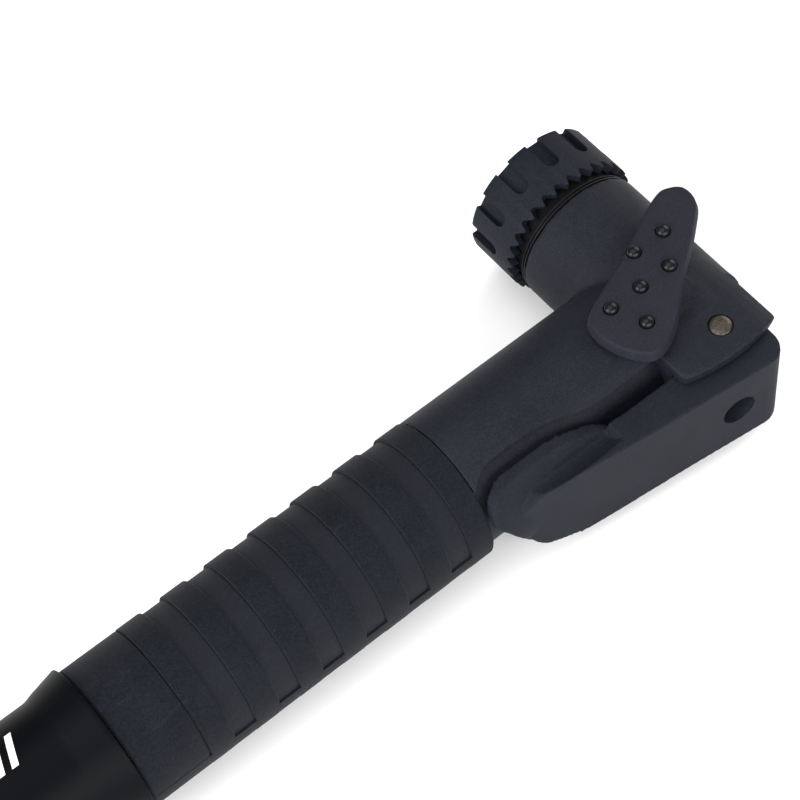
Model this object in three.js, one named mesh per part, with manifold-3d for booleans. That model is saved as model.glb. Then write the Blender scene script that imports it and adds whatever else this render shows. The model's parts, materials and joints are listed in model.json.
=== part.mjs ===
// Hand-held telescoping bicycle pump with a lever-locked valve head, lying on its side.
// X runs along the barrel toward the head, Y along the valve outlet, Z along the lever pin.
// Every piece is built about the point where the barrel axis meets the outlet axis.
import * as THREE from 'three';
import { mergeVertices } from 'three/addons/utils/BufferGeometryUtils.js';
import Module from 'manifold-3d';

const wasm = await Module();
wasm.setup();

// ---- driving dimensions, mm ----
const FIT = 0.3;              // radial or end clearance of every fit
const BARREL_R = 10.7;        // outside of the barrel
const BARREL_WALL = 1.1;
const BORE_R = BARREL_R - BARREL_WALL;
const NECK_WALL = 2.3;
const NECK_R = BARREL_R + FIT + NECK_WALL;   // neck that holds the barrel
const NECK_END = -51.5;       // tail end of the neck
const HEAD_R = 12.9;          // outlet stub and head block
const STUB_Y = 24.4;          // front edge of the stub
const NOSE_R = 10.2;          // threaded nose inside the collar
const NOSE_WALL = 1.3;
const CHAMBER_R = NOSE_R - NOSE_WALL;
const CHAMBER_Y = 4.2;        // floor of the chamber
const DETENT_WALL = 1.6;
const DETENT_R = NOSE_R + FIT + DETENT_WALL; // spigot of the click ring inside the collar
const COLLAR_WALL = 1.4;
const COLLAR_R = DETENT_R + FIT + COLLAR_WALL;
const COLLAR_GAP = 2.2;       // stub edge to collar edge
const COLLAR_Y0 = STUB_Y + COLLAR_GAP;
const COLLAR_LENGTH = 11.6;
const COLLAR_Y1 = COLLAR_Y0 + COLLAR_LENGTH;
const COLLAR_FRONT = 3.0;     // thickness of the collar's front wall
const COLLAR_SEAT = COLLAR_Y1 - COLLAR_FRONT;
const NOSE_GAP = 1.7;         // nose to the collar's front wall
const NOSE_Y = COLLAR_SEAT - NOSE_GAP;
const COLLAR_TEETH = 30;
const COLLAR_RECESSES = 12;
const VALVE_R = 4.6;          // hole that takes the tyre valve
const STEM_R = 3.0;
const GLAND = 0.9;            // stem to the centre of its seal
const PLUNGER_Y = CHAMBER_Y + 4.6;           // underside of the plunger's head
const PLUNGER_SEAL_Y = PLUNGER_Y + 5.4;
const PIN_DROP = 0.9;         // pin centre above the neck's lowest line
const PIN_Y = PIN_DROP - NECK_R;             // lever pin, below the barrel axis
const PIN_R = 2.1;
const LEVER_HALF = 9.7;       // half width of the lever at the pin
const LEVER_BULGE = 0.3;      // the lever's far side is fuller by this
const SLOT_HALF = LEVER_HALF + LEVER_BULGE + FIT;
const CHEEK_WALL = 2.1;
const CHEEK_Z = SLOT_HALF + CHEEK_WALL;      // outer face of each cheek
const SLOT_TOP = PIN_Y + 8.4; // roof of the lever slot
const LEVER_TIP = -52.0;      // end of the thumb paddle
const LEVER_BACK = -9.75;     // back face below the pin centre
const LEVER_SLOPE = 0.125;    // rise of the back face toward the tip
const WING_GAP = 0.6;         // wings to the neck
const WING_WALL = 2.0;
const CAM_BASE = 5.6;         // cam height with the lever folded
const CAM_RATE = 1.4;         // cam lift, mm per radian
const SPINDLE_R = 2.5;
const SPINDLE_Z = 6.0;        // foot of the spindle
const SPINDLE_SEAL_Z = 9.0;
const TAB_X = -4.5;           // selector axis on the barrel axis
const TAB_LIFT = 1.1;         // neck to the underside of the tab
const TAB_THICK = 2.0;
const TAB_Z0 = NECK_R + TAB_LIFT;
const TAB_Z1 = TAB_Z0 + TAB_THICK;
const STUD_R = 1.2;
const STUD_SINK = 0.6;
const HEAD_BORE_X = -14.0;    // end of the head's barrel bore
const SEAT_R = 7.0;           // check valve seat
const GASKET_WALL = 1.2;
const BARREL_X0 = HEAD_BORE_X - GASKET_WALL - 2 * FIT;
const SLEEVE_WALL = 2.5;
const SLEEVE_R = BARREL_R + FIT + SLEEVE_WALL;
const SLEEVE_GAP = 0.35;
const SLEEVE_X0 = NECK_END - SLEEVE_GAP;     // head end of the grip sleeve
const SLEEVE_LENGTH = 71.05;
const SLEEVE_X1 = SLEEVE_X0 - SLEEVE_LENGTH; // tail end of the grip sleeve
const BAND_PITCH = 9.12;
const BAND_WIDTH = 4.75;
const BAND_COUNT = 7;
const GROOVE = 0.5;
const HANDLE_GAP = 0.4;       // barrel to the handle's bore
const HANDLE_BORE = BARREL_R + HANDLE_GAP;
const HANDLE_WALL = 1.6;
const HANDLE_R = HANDLE_BORE + HANDLE_WALL;
const MOUTH_FLARE = 1.6;
const MOUTH_R = HANDLE_R + MOUTH_FLARE;
const HANDLE_X0 = SLEEVE_X1 - FIT;           // mouth of the sliding handle
const HANDLE_LENGTH = 129.8;
const HANDLE_X1 = HANDLE_X0 - HANDLE_LENGTH;
const BARREL_X1 = HANDLE_X1 + 7.5;           // tail end of the barrel
const BUSH_FLANGE = 1.4;
const BUSH_REACH = 9.5;
const ROD_R = 3.5;
const ROD_END = HANDLE_X1 + 1.0;
const CAP_X = HANDLE_X1 - 5.5;               // tail face of the end cap
const SCREW_R = 1.85;
const SCREW_HEAD_R = 3.6;
const SCREW_HEAD_SINK = 1.5;  // depth of the cap's screw recess
const STUD_END_R = 2.2;       // threaded end of the rod
const PISTON_X0 = BARREL_X0 - 4.2;
const PISTON_LENGTH = 10.5;
const PISTON_X1 = PISTON_X0 - PISTON_LENGTH;
const NUT_THICK = 2.2;
const TUBE_SEGS = 44;

// ---- colours and finishes ----
const FINISH = {
  shell: { color: 0x1d2027, roughness: 0.62, metalness: 0.0 },
  grip: { color: 0x23262e, roughness: 0.86, metalness: 0.0 },
  handle: { color: 0x181b20, roughness: 0.5, metalness: 0.0 },
  lever: { color: 0x2a2d35, roughness: 0.7, metalness: 0.0 },
  dark: { color: 0x0a0b0e, roughness: 0.3, metalness: 0.0 },
  rubber: { color: 0x0c0d0f, roughness: 0.75, metalness: 0.0 },
  rivet: { color: 0x5e564f, roughness: 0.4, metalness: 0.9 },
  steel: { color: 0x9da1a6, roughness: 0.35, metalness: 1.0 },
  alloy: { color: 0xb9bcc2, roughness: 0.4, metalness: 0.9 },
  stud: { color: 0x07080b, roughness: 0.12, metalness: 0.0 },
  nylon: { color: 0x2b2c30, roughness: 0.55, metalness: 0.0 },
};

// ---- shape helpers ----
function solid(geometry) {
  const g = geometry.clone();
  g.deleteAttribute('normal');
  g.deleteAttribute('uv');
  const merged = mergeVertices(g, 1e-4);
  const pos = merged.attributes.position.array;
  const src = merged.index.array;
  const tri = [];
  let volume = 0;
  for (let i = 0; i < src.length; i += 3) {
    const [a, b, c] = [src[i], src[i + 1], src[i + 2]];
    if (a === b || b === c || a === c) continue;
    tri.push(a, b, c);
    const [p, q, r] = [a, b, c].map((k) => new THREE.Vector3().fromArray(pos, 3 * k));
    volume += p.dot(q.cross(r));
  }
  if (volume < 0) tri.reverse();
  return new wasm.Manifold(new wasm.Mesh({
    numProp: 3, vertProperties: new Float32Array(pos), triVerts: new Uint32Array(tri),
  }));
}

function geometryOf(body) {
  const mesh = body.getMesh();
  const g = new THREE.BufferGeometry();
  g.setAttribute('position', new THREE.BufferAttribute(mesh.vertProperties, 3));
  g.setIndex(new THREE.BufferAttribute(mesh.triVerts, 1));
  g.computeVertexNormals();
  return g;
}

function turnTo(axis, g) {
  if (axis === 'x') g.rotateZ(-Math.PI / 2);
  if (axis === 'z') g.rotateX(Math.PI / 2);
  return g;
}

// round bar along an axis from a to b, with an optional second radius at b
function bar(axis, r, a, b, segs = 32, r2 = r) {
  const g = new THREE.CylinderGeometry(r2, r, b - a, segs);
  g.translate(0, (a + b) / 2, 0);
  return turnTo(axis, g);
}

// turned ring from a closed [radius, station] profile
function turned(axis, profile, segs = TUBE_SEGS) {
  const pts = profile.map(([r, t]) => new THREE.Vector2(r, t));
  if (profile[0][0] > 0) pts.push(pts[0].clone());
  return turnTo(axis, new THREE.LatheGeometry(pts, segs));
}

function ring(axis, rOut, rIn, a, b, segs = TUBE_SEGS) {
  return turned(axis, [[rIn, a], [rOut, a], [rOut, b], [rIn, b]], segs);
}

function torus(axis, centre, tube, at, segs = 28, around = 8) {
  const g = new THREE.TorusGeometry(centre, tube, around, segs);
  if (axis === 'y') g.rotateX(Math.PI / 2);
  if (axis === 'x') g.rotateY(Math.PI / 2);
  const p = { x: [at, 0, 0], y: [0, at, 0], z: [0, 0, at] }[axis];
  return g.translate(...p);
}

function box(x0, x1, y0, y1, z0, z1) {
  const g = new THREE.BoxGeometry(x1 - x0, y1 - y0, z1 - z0);
  return g.translate((x0 + x1) / 2, (y0 + y1) / 2, (z0 + z1) / 2);
}

function shapeOf(points) {
  return new THREE.Shape(points.map(([x, y]) => new THREE.Vector2(x, y)));
}

// outline in the XY plane raised from z0 to z1
function slab(points, z0, z1) {
  const g = new THREE.ExtrudeGeometry(shapeOf(points), { depth: z1 - z0, bevelEnabled: false });
  return g.translate(0, 0, z0);
}

// plan outline given as (x, z), swept along Y from y0 to y1
function column(points, y0, y1) {
  const g = new THREE.ExtrudeGeometry(
    shapeOf(points.map(([x, z]) => [x, -z])), { depth: y1 - y0, bevelEnabled: false });
  g.rotateX(-Math.PI / 2);
  return g.translate(0, y0, 0);
}

function smooth(points, count) {
  const curve = new THREE.CatmullRomCurve3(
    points.map(([x, y]) => new THREE.Vector3(x, y, 0)), true, 'centripetal');
  return curve.getPoints(count).slice(0, count).map((p) => [p.x, p.y]);
}

function mirrored(half) {
  const back = half.filter(([, w]) => w > 0).map(([x, w]) => [x, -w]).reverse();
  return [...half, ...back];
}

// ---- head ----
function headShell() {
  const r = HEAD_R;
  const plan = [[1 - r, CHEEK_Z - 0.8], [1.8 - r, CHEEK_Z], [r - 8.6, CHEEK_Z],
    [r - 5.5, CHEEK_Z - 0.9], [r - 2.7, CHEEK_Z - 2.9], [r - 0.9, CHEEK_Z - 6.0],
    [r - 0.1, CHEEK_Z - 9.4], [r, 0]];
  const y = PIN_Y;
  const side = [[1 - r, -1], [1 - r, y - 3.5], [2.1 - r, y - 4.2], [5.9 - r, y - 5.1],
    [-3, y - 5.7], [1, y - 5.7], [r - 7.9, y - 5.3], [r - 4.7, y - 4.4], [r - 1.9, y - 3.5],
    [r, y - 1.6], [r, -1]];
  const cheeks = solid(column(mirrored(plan), y - 6.6, -1))
    .intersect(solid(slab(side, -CHEEK_Z - 1, CHEEK_Z + 1)));
  const boss = bar('z', SPINDLE_R + 3.1, SPINDLE_Z + 2, TAB_Z0 - 0.5, 32).translate(TAB_X, 0, 0);
  const pinHole = bar('z', PIN_R + FIT, -CHEEK_Z - 8, CHEEK_Z + 8, 28).translate(0, PIN_Y, 0);
  const spindleHole = bar('z', SPINDLE_R + FIT + 0.1, SPINDLE_Z - 0.4, TAB_Z0 + 5.6, 28).translate(TAB_X, 0, 0);
  const port = bar('x', 1.8, HEAD_BORE_X + 2.6, -4, 20).translate(0, CHAMBER_Y + 1.6, 0);
  return solid(bar('x', NECK_R, NECK_END, 2, TUBE_SEGS))
    .add(solid(bar('y', HEAD_R, -9, STUB_Y, TUBE_SEGS)))
    .add(solid(bar('y', NOSE_R, STUB_Y - 1, NOSE_Y, TUBE_SEGS)))
    .add(cheeks)
    .add(solid(boss))
    .subtract(solid(bar('x', BARREL_R + FIT, NECK_END - 1, HEAD_BORE_X, TUBE_SEGS)))
    .subtract(solid(bar('x', SEAT_R + FIT, HEAD_BORE_X - 1, HEAD_BORE_X + 3, 40)))
    .subtract(solid(bar('y', CHAMBER_R, CHAMBER_Y, NOSE_Y + 1, 48)))
    .subtract(solid(bar('y', STEM_R + FIT, SLOT_TOP - 2, CHAMBER_Y + 1, 32)))
    .subtract(solid(bar('y', STEM_R + GLAND + 0.8, CHAMBER_Y - 4, CHAMBER_Y - 1.6, 32)))
    .subtract(solid(box(3.6 - r, r + 1.1, PIN_Y - 7.6, SLOT_TOP, -SLOT_HALF, SLOT_HALF)))
    .subtract(solid(box(-r - 0.1, 0, PIN_Y - 7.6, -NECK_R, -SLOT_HALF, SLOT_HALF)))
    .subtract(solid(port))
    .subtract(solid(spindleHole))
    .subtract(solid(pinHole));
}

function valveCollar() {
  const e = 0.5;
  const wall = [[DETENT_R + FIT, COLLAR_Y0], [COLLAR_R - 0.2, COLLAR_Y0], [COLLAR_R, COLLAR_Y0 + 0.3],
    [COLLAR_R, COLLAR_Y1 - e], [COLLAR_R - 0.3, COLLAR_Y1], [VALVE_R + 0.8, COLLAR_Y1],
    [VALVE_R, COLLAR_Y1 - 0.8], [VALVE_R, COLLAR_SEAT],
    [NOSE_R + FIT, COLLAR_SEAT], [NOSE_R + FIT, COLLAR_Y0 + 2.6], [DETENT_R + FIT, COLLAR_Y0 + 2.6]];
  let body = solid(turned('y', wall, 48));
  for (let i = 0; i < COLLAR_RECESSES; i += 1) {
    const a = (3 + 30 * i) * Math.PI / 180;
    const w = 1.45;
    const floor = COLLAR_R - 1.2;
    const end = [];
    for (let k = 0; k <= 6; k += 1) {
      const t = Math.PI + k * Math.PI / 6;
      end.push([w * Math.cos(t), COLLAR_Y0 + 6 + w * Math.sin(t)]);
    }
    const cut = slab([...end, [w, COLLAR_Y1 + 1], [-w, COLLAR_Y1 + 1]], floor, floor + 3);
    body = body.subtract(solid(cut.rotateY(a)));
  }
  const step = 2 * Math.PI / COLLAR_TEETH;
  for (let i = 0; i < COLLAR_TEETH; i += 1) {
    const pitch = COLLAR_R * step;
    const notch = [[-0.34 * pitch, COLLAR_Y0 - 0.4], [0.52 * pitch, COLLAR_Y0 - 0.4],
      [0.46 * pitch, COLLAR_Y0], [0, COLLAR_Y0 + 1.5], [-0.3 * pitch, COLLAR_Y0]];
    body = body.subtract(solid(slab(notch, DETENT_R - 0.6, COLLAR_R + 2.2).rotateY((i + 0.2) * step)));
  }
  return body;
}

function detentRing() {
  const rIn = NOSE_R + FIT;
  const y = STUB_Y + FIT;
  const rim = DETENT_R + 0.65;
  return solid(turned('y', [[rIn, y], [rim, y], [rim, y + 0.35], [rim - 0.4, y + 0.45],
    [rim - 0.4, y + 0.65], [rim, y + 0.75], [rim, y + 1.1], [DETENT_R, y + 1.3],
    [DETENT_R, COLLAR_Y0 + 2.3], [rIn, COLLAR_Y0 + 2.3]], 40));
}

function valveGrommet() {
  const y0 = STUB_Y + 0.1;
  const y1 = COLLAR_SEAT - FIT;
  const r = CHAMBER_R - FIT;
  return solid(turned('y', [[VALVE_R - 0.7, y0 + 0.5], [VALVE_R - 0.2, y0], [r, y0], [r, y1],
    [VALVE_R, y1], [VALVE_R - 0.7, y1 - 0.7]], 28));
}

function plunger() {
  const stem = PIN_Y + CAM_BASE + 0.05;
  const r = CHAMBER_R - FIT - 0.1;
  const seal = PLUNGER_SEAL_Y;
  const body = turned('y', [[0, stem], [STEM_R - 0.4, stem], [STEM_R, stem + 0.4],
    [STEM_R, PLUNGER_Y], [r, PLUNGER_Y], [r, seal - 1.2], [r - 1.2, seal - 1.2],
    [r - 1.2, seal + 1.2], [r, seal + 1.2], [r, STUB_Y - 2.6], [0, STUB_Y - 2.6]], 28);
  return solid(body)
    .subtract(solid(bar('y', 1.6, PLUNGER_Y - 3.3, STUB_Y - 1.4, 20)))
    .subtract(solid(bar('x', 1.2, -STEM_R - 1, STEM_R + 1, 16).translate(0, PLUNGER_Y - 2, 0)));
}

// ---- lever ----
function leverSide() {
  const cam = [];
  for (let i = 0; i <= 9; i += 1) {
    const t = i * Math.PI / 18;
    const h = CAM_BASE + CAM_RATE * t;
    cam.push([CAM_RATE * Math.cos(t) + h * Math.sin(t),
      -CAM_RATE * Math.sin(t) + h * Math.cos(t)]);
  }
  const back = (x) => LEVER_BACK - LEVER_SLOPE * x;
  const end = [[7.6, -3.6], [7.6, -7.0], [7.2, -8.6], [6.1, -9.7], [4.6, -10.15], [2.4, back(2.4)]];
  const tip = [[-36, back(-36)], [LEVER_TIP + 12, -4.45], [LEVER_TIP + 9, -3.75],
    [LEVER_TIP + 6, -3.0], [LEVER_TIP + 1, -1.2]];
  const top = [[-30, -0.7], [-13.2, -0.96], [-8.4, -0.96], [-6.9, 0.6], [-5.7, 1.8], [-4.1, 3.8],
    [-2, 5.15]];
  return [...cam, ...end, ...tip, ...top].map(([x, y]) => [x, y + PIN_Y]);
}

function lockLever() {
  const w = LEVER_HALF;
  const e = LEVER_TIP;
  const plan = [[8.2, w - 2.1], [7.4, w - 0.7], [5.4, w], [-6, w], [-20, w - 0.2],
    [-28, w], [e + 18, w + 0.3], [e + 14, w + 0.3], [e + 11, w - 0.3], [e + 8.5, w - 1.5],
    [e + 6.2, w - 3.3], [e + 4.6, w - 5.3], [e + 3.8, w - 7.5], [e + 4.5, 0], [e + 5.4, -2],
    [e + 6.8, -5], [e + 8.4, 2.1 - w], [e + 10.5, 0.5 - w], [e + 13, -w - 0.4],
    [e + 16, -w - 0.8], [e + 20, -w - 0.9], [-20, -w - 0.6], [-13, -w - LEVER_BULGE],
    [5.4, -w - LEVER_BULGE], [7.4, 0.5 - w], [8.2, 2 - w]];
  const paddle = [[-24.5, w - 4.2], [-25.9, w - 1.9], [-29.9, w - 0.1], [-34.4, w + 1.1],
    [-38.4, w + 1.5], [e + 9.3, w + 1.6], [e + 6, w + 1.5], [e + 3.4, w + 1.1],
    [e + 1.4, w + 0.1], [e + 0.3, w - 1.5], [e, w - 3.7], [e + 1.8, 3.2], [e + 3.7, 0],
    [e + 5.9, -4], [e + 7.1, 2.2 - w], [e + 7.7, 0.1 - w], [e + 8.8, -w - 1.1],
    [e + 10.4, -w - 1.5], [-38.4, -w - 1.5], [-34.4, -w - 1.1], [-29.9, 0.1 - w],
    [-25.9, 1.9 - w], [-24.5, 4.2 - w]];
  const y = PIN_Y;
  const flank = [[y - 5.1, w + 3.3], [y - 5.1, w + 0.2], [y - 1.8, w - 2.5], [y + 2.4, w - 2.5],
    [y + 2.4, w + 3.3]];
  let body = solid(slab(leverSide(), -LEVER_HALF - 2, LEVER_HALF + 2))
    .intersect(solid(column(plan, y - 27.6, 0)));
  for (const side of [1, -1]) {
    const scoop = new THREE.ExtrudeGeometry(
      shapeOf(flank.map(([y, z]) => [-z * side, y])), { depth: 24, bevelEnabled: false });
    body = body.subtract(solid(scoop.rotateY(-Math.PI / 2).translate(-26.5, 0, 0)));
  }
  const inner = NECK_R + WING_GAP;
  const wings = solid(ring('x', inner + WING_WALL, inner, e - 1, -22, 72))
    .intersect(solid(column(paddle, y - 4.6, y + 6.4)));
  const clear = bar('x', inner, e - 8, -9.6, TUBE_SEGS);
  const toolHole = bar('y', 2.95, y - 13.6, y - 4, 28).translate(-3.7, 0, 0);
  const pinHole = bar('z', PIN_R + FIT, -CHEEK_Z - 8, CHEEK_Z + 8, 28).translate(0, PIN_Y, 0);
  return body.subtract(solid(clear)).add(wings)
    .subtract(solid(toolHole)).subtract(solid(pinHole));
}

function leverPin() {
  const z = CHEEK_Z + 0.1;
  const dome = PIN_R - 0.8;
  return solid(turned('z', [[0, -z - 0.35], [dome, -z - 0.2], [PIN_R, -z + 0.2],
    [PIN_R, z - 0.2], [dome, z + 0.2], [0, z + 0.35]], 28).translate(0, PIN_Y, 0));
}

// ---- selector on top of the head ----
const STUDS = [[3.9, 6.6], [-2.8, 6.6], [-0.1, 0.5], [-6.7, 0.5], [-13.4, 0.5], [-10.7, -5.6]];

function selectorTab() {
  const outline = smooth([[10.2, 13.2], [12.8, 11.4], [12.5, 7.8], [9, 4.4], [5, 1.2], [2, -1],
    [-3.2, -5.4], [-7, -8.4], [-10.4, -10.4], [-13.4, -10.9], [-15.6, -9.4], [-17.5, -6],
    [-18.3, -2], [-17.4, 1.3], [-13.4, 3.7], [-7.3, 6], [-0.7, 9.1], [4.5, 11.7], [7.8, 13]], 44);
  let body = solid(slab(outline, TAB_Z0, TAB_Z1));
  for (const [x, y] of STUDS) {
    body = body.subtract(solid(bar('z', STUD_R + FIT, TAB_Z1 - STUD_SINK - FIT, TAB_Z1 + 1, 18).translate(x, y, 0)));
  }
  return body;
}

function stud(x, y) {
  const z = TAB_Z1 - STUD_SINK;
  return solid(turned('z', [[0, z], [STUD_R, z], [STUD_R, TAB_Z1 + 0.1],
    [STUD_R - 0.15, TAB_Z1 + 0.55], [STUD_R - 0.55, TAB_Z1 + 0.85], [0, TAB_Z1 + 1.0]], 18)
    .translate(x, y, 0));
}

function selectorSpindle() {
  const r = SPINDLE_R;
  const z = SPINDLE_SEAL_Z;
  return solid(turned('z', [[0, SPINDLE_Z], [r, SPINDLE_Z], [r, z - 0.7], [r - 0.8, z - 0.7],
    [r - 0.8, z + 0.7], [r, z + 0.7], [r, TAB_Z0 - FIT], [0, TAB_Z0 - FIT]], 28)
    .translate(TAB_X, 0, 0));
}

// ---- barrel, check valve and grip ----
function checkSeat() {
  return solid(ring('x', SEAT_R, 1.6, HEAD_BORE_X - 1.3, HEAD_BORE_X + 0.6, 28));
}

function gripSleeve() {
  const rIn = BARREL_R + FIT;
  const profile = [[rIn, SLEEVE_X1], [SLEEVE_R - 0.1, SLEEVE_X1]];
  const last = SLEEVE_X0 - BAND_PITCH * (BAND_COUNT - 1) - BAND_WIDTH;
  profile.push([SLEEVE_R - 0.1, last - 0.3], [SLEEVE_R - GROOVE, last]);
  for (let i = BAND_COUNT - 1; i >= 0; i -= 1) {
    const head = SLEEVE_X0 - i * BAND_PITCH;
    profile.push([SLEEVE_R, head - BAND_WIDTH], [SLEEVE_R, head]);
    if (i > 0) profile.push([SLEEVE_R - GROOVE, head + 0.1],
      [SLEEVE_R - GROOVE, head + BAND_PITCH - BAND_WIDTH]);
  }
  profile.push([rIn, SLEEVE_X0]);
  const strip = solid(ring('x', SLEEVE_R - 0.06, SLEEVE_R - 1, SLEEVE_X1 + 0.5, SLEEVE_X0 - 0.5, 40))
    .intersect(solid(box(SLEEVE_X1, SLEEVE_X0, -SLEEVE_R - 6.5, 4.5 - SLEEVE_R, -6.87, -0.17)));
  return solid(turned('x', profile, 40)).add(strip);
}

function barrelBush() {
  const a = BARREL_X1 - FIT;
  const rod = ROD_R + FIT;
  const bore = BORE_R - FIT;
  return solid(turned('x', [[rod, a - BUSH_FLANGE], [BARREL_R - 0.1, a - BUSH_FLANGE],
    [BARREL_R - 0.1, a], [bore, a], [bore, BARREL_X1 + BUSH_REACH],
    [rod, BARREL_X1 + BUSH_REACH]], 28));
}

// ---- sliding handle ----
function handleTube() {
  return solid(turned('x', [[HANDLE_BORE, HANDLE_X1], [HANDLE_R, HANDLE_X1],
    [HANDLE_R, HANDLE_X0 - 6.2], [HANDLE_R + 0.25, HANDLE_X0 - 5.2],
    [MOUTH_R - 0.1, HANDLE_X0 - 0.7], [MOUTH_R, HANDLE_X0 - 0.3], [MOUTH_R - 0.25, HANDLE_X0],
    [HANDLE_BORE, HANDLE_X0]]));
}

function handleEndCap() {
  const a = HANDLE_X1 - FIT;
  const plug = HANDLE_BORE - FIT;
  const recess = SCREW_HEAD_R + 0.7;
  const hole = SCREW_R + 0.35;
  return solid(turned('x', [[hole, CAP_X + SCREW_HEAD_SINK], [recess, CAP_X + SCREW_HEAD_SINK],
    [recess, CAP_X], [HANDLE_R - 1.8, CAP_X], [HANDLE_R - 0.5, CAP_X + 0.6],
    [HANDLE_R, CAP_X + 1.8], [HANDLE_R, a], [plug, a], [plug, HANDLE_X1 + 4],
    [ROD_R + FIT, HANDLE_X1 + 4], [ROD_R + FIT, ROD_END - FIT], [hole, ROD_END - FIT]], 36));
}

function pistonRod() {
  const r = STUD_END_R;
  return solid(turned('x', [[0, ROD_END], [ROD_R, ROD_END], [ROD_R, PISTON_X1 - FIT],
    [r, PISTON_X1 - FIT], [r, PISTON_X0 + NUT_THICK], [0, PISTON_X0 + NUT_THICK]], 24))
    .subtract(solid(bar('x', SCREW_R + FIT, ROD_END - 1, HANDLE_X1 + 10, 16)));
}

function piston() {
  const rIn = STUD_END_R + FIT;
  const r = BORE_R - FIT;
  const [a, b] = [PISTON_X1 + 3.3, PISTON_X0 - 3.3];
  return solid(turned('x', [[rIn, PISTON_X1], [r - FIT, PISTON_X1], [r, PISTON_X1 + 0.4],
    [r, a], [r - 1.7, a], [r - 1.7, b], [r, b], [r, PISTON_X0 - 0.4],
    [r - FIT, PISTON_X0], [rIn, PISTON_X0]], 28));
}

function pistonNut() {
  const r = STUD_END_R + 1.8;
  const x = PISTON_X0 + FIT;
  const hex = new THREE.CylinderGeometry(r, r, NUT_THICK, 6).rotateZ(-Math.PI / 2)
    .translate(x + NUT_THICK / 2, 0, 0);
  return solid(hex).subtract(solid(bar('x', STUD_END_R + FIT, x - 1, x + NUT_THICK + 1, 24)));
}

function endCapScrew() {
  const under = CAP_X + SCREW_HEAD_SINK - FIT;
  const end = HANDLE_X1 + 8;
  return solid(turned('x', [[0, under - 1], [SCREW_HEAD_R - 0.6, under - 1],
    [SCREW_HEAD_R, under - 0.5], [SCREW_HEAD_R, under], [SCREW_R, under], [SCREW_R, end],
    [0, end]], 24))
    .subtract(solid(bar('x', SCREW_R - 0.55, CAP_X - 1.5, under - 0.3, 6)));
}

// ---- assembly ----
const pump = new THREE.Group();

function place(name, body, finish) {
  const mesh = new THREE.Mesh(geometryOf(body), new THREE.MeshStandardMaterial(finish));
  mesh.name = name;
  pump.add(mesh);
}

place('head_shell', headShell(), FINISH.shell);
place('valve_collar', valveCollar(), FINISH.shell);
place('detent_ring', detentRing(), FINISH.dark);
place('valve_grommet', valveGrommet(), FINISH.rubber);
place('plunger', plunger(), FINISH.nylon);
place('plunger_head_seal', solid(torus('y', CHAMBER_R - 0.85, 0.7, PLUNGER_SEAL_Y)), FINISH.rubber);
place('plunger_stem_seal', solid(torus('y', STEM_R + GLAND, 0.75, CHAMBER_Y - 2.8, 20)), FINISH.rubber);
place('lock_lever', lockLever(), FINISH.lever);
place('lever_pin', leverPin(), FINISH.rivet);
place('selector_tab', selectorTab(), FINISH.shell);
STUDS.forEach(([x, y], i) => place(`tab_stud_${i + 1}`, stud(x, y), FINISH.stud));
place('selector_spindle', selectorSpindle(), FINISH.steel);
place('spindle_seal', solid(torus('z', SPINDLE_R - 0.2, 0.5, SPINDLE_SEAL_Z, 18, 6)
  .translate(TAB_X, 0, 0)), FINISH.rubber);
place('barrel_tube', solid(ring('x', BARREL_R, BORE_R, BARREL_X1, BARREL_X0, 36)), FINISH.alloy);
place('barrel_gasket', solid(ring('x', BARREL_R - 0.2, SEAT_R + 0.9, BARREL_X0 + FIT,
  HEAD_BORE_X - FIT, 28)), FINISH.rubber);
place('check_valve_seat', checkSeat(), FINISH.nylon);
place('check_valve_disc', solid(bar('x', SEAT_R - 2.8, HEAD_BORE_X + 0.9, HEAD_BORE_X + 1.8, 28)), FINISH.rubber);
place('grip_sleeve', gripSleeve(), FINISH.grip);
place('barrel_bush', barrelBush(), FINISH.nylon);
place('handle_tube', handleTube(), FINISH.handle);
place('handle_end_cap', handleEndCap(), FINISH.handle);
place('end_cap_screw', endCapScrew(), FINISH.steel);
place('piston_rod', pistonRod(), FINISH.steel);
place('piston', piston(), FINISH.nylon);
place('piston_seal', solid(torus('x', BORE_R - 1.05, 0.87, (PISTON_X0 + PISTON_X1) / 2, 28)), FINISH.rubber);
place('piston_nut', pistonNut(), FINISH.steel);

// the origin is the middle of the lowest level of the whole pump
const whole = new THREE.Box3().setFromObject(pump);
pump.position.set(-(whole.min.x + whole.max.x) / 2, -(whole.min.y + whole.max.y) / 2, -whole.min.z);
pump.updateMatrixWorld(true);

export default pump;
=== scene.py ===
"""Looks of a hand-held bicycle pump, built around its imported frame.

Every shape is worked out in millimetres about the point where the barrel axis meets the outlet
axis, X toward the head, Y along the outlet, Z up, and is then set into the frame in metres.
"""

import json
import logging
import math
from dataclasses import dataclass, field
from enum import Enum
from typing import Callable, Sequence

import bmesh
import bpy
from mathutils import Matrix, Vector

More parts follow.
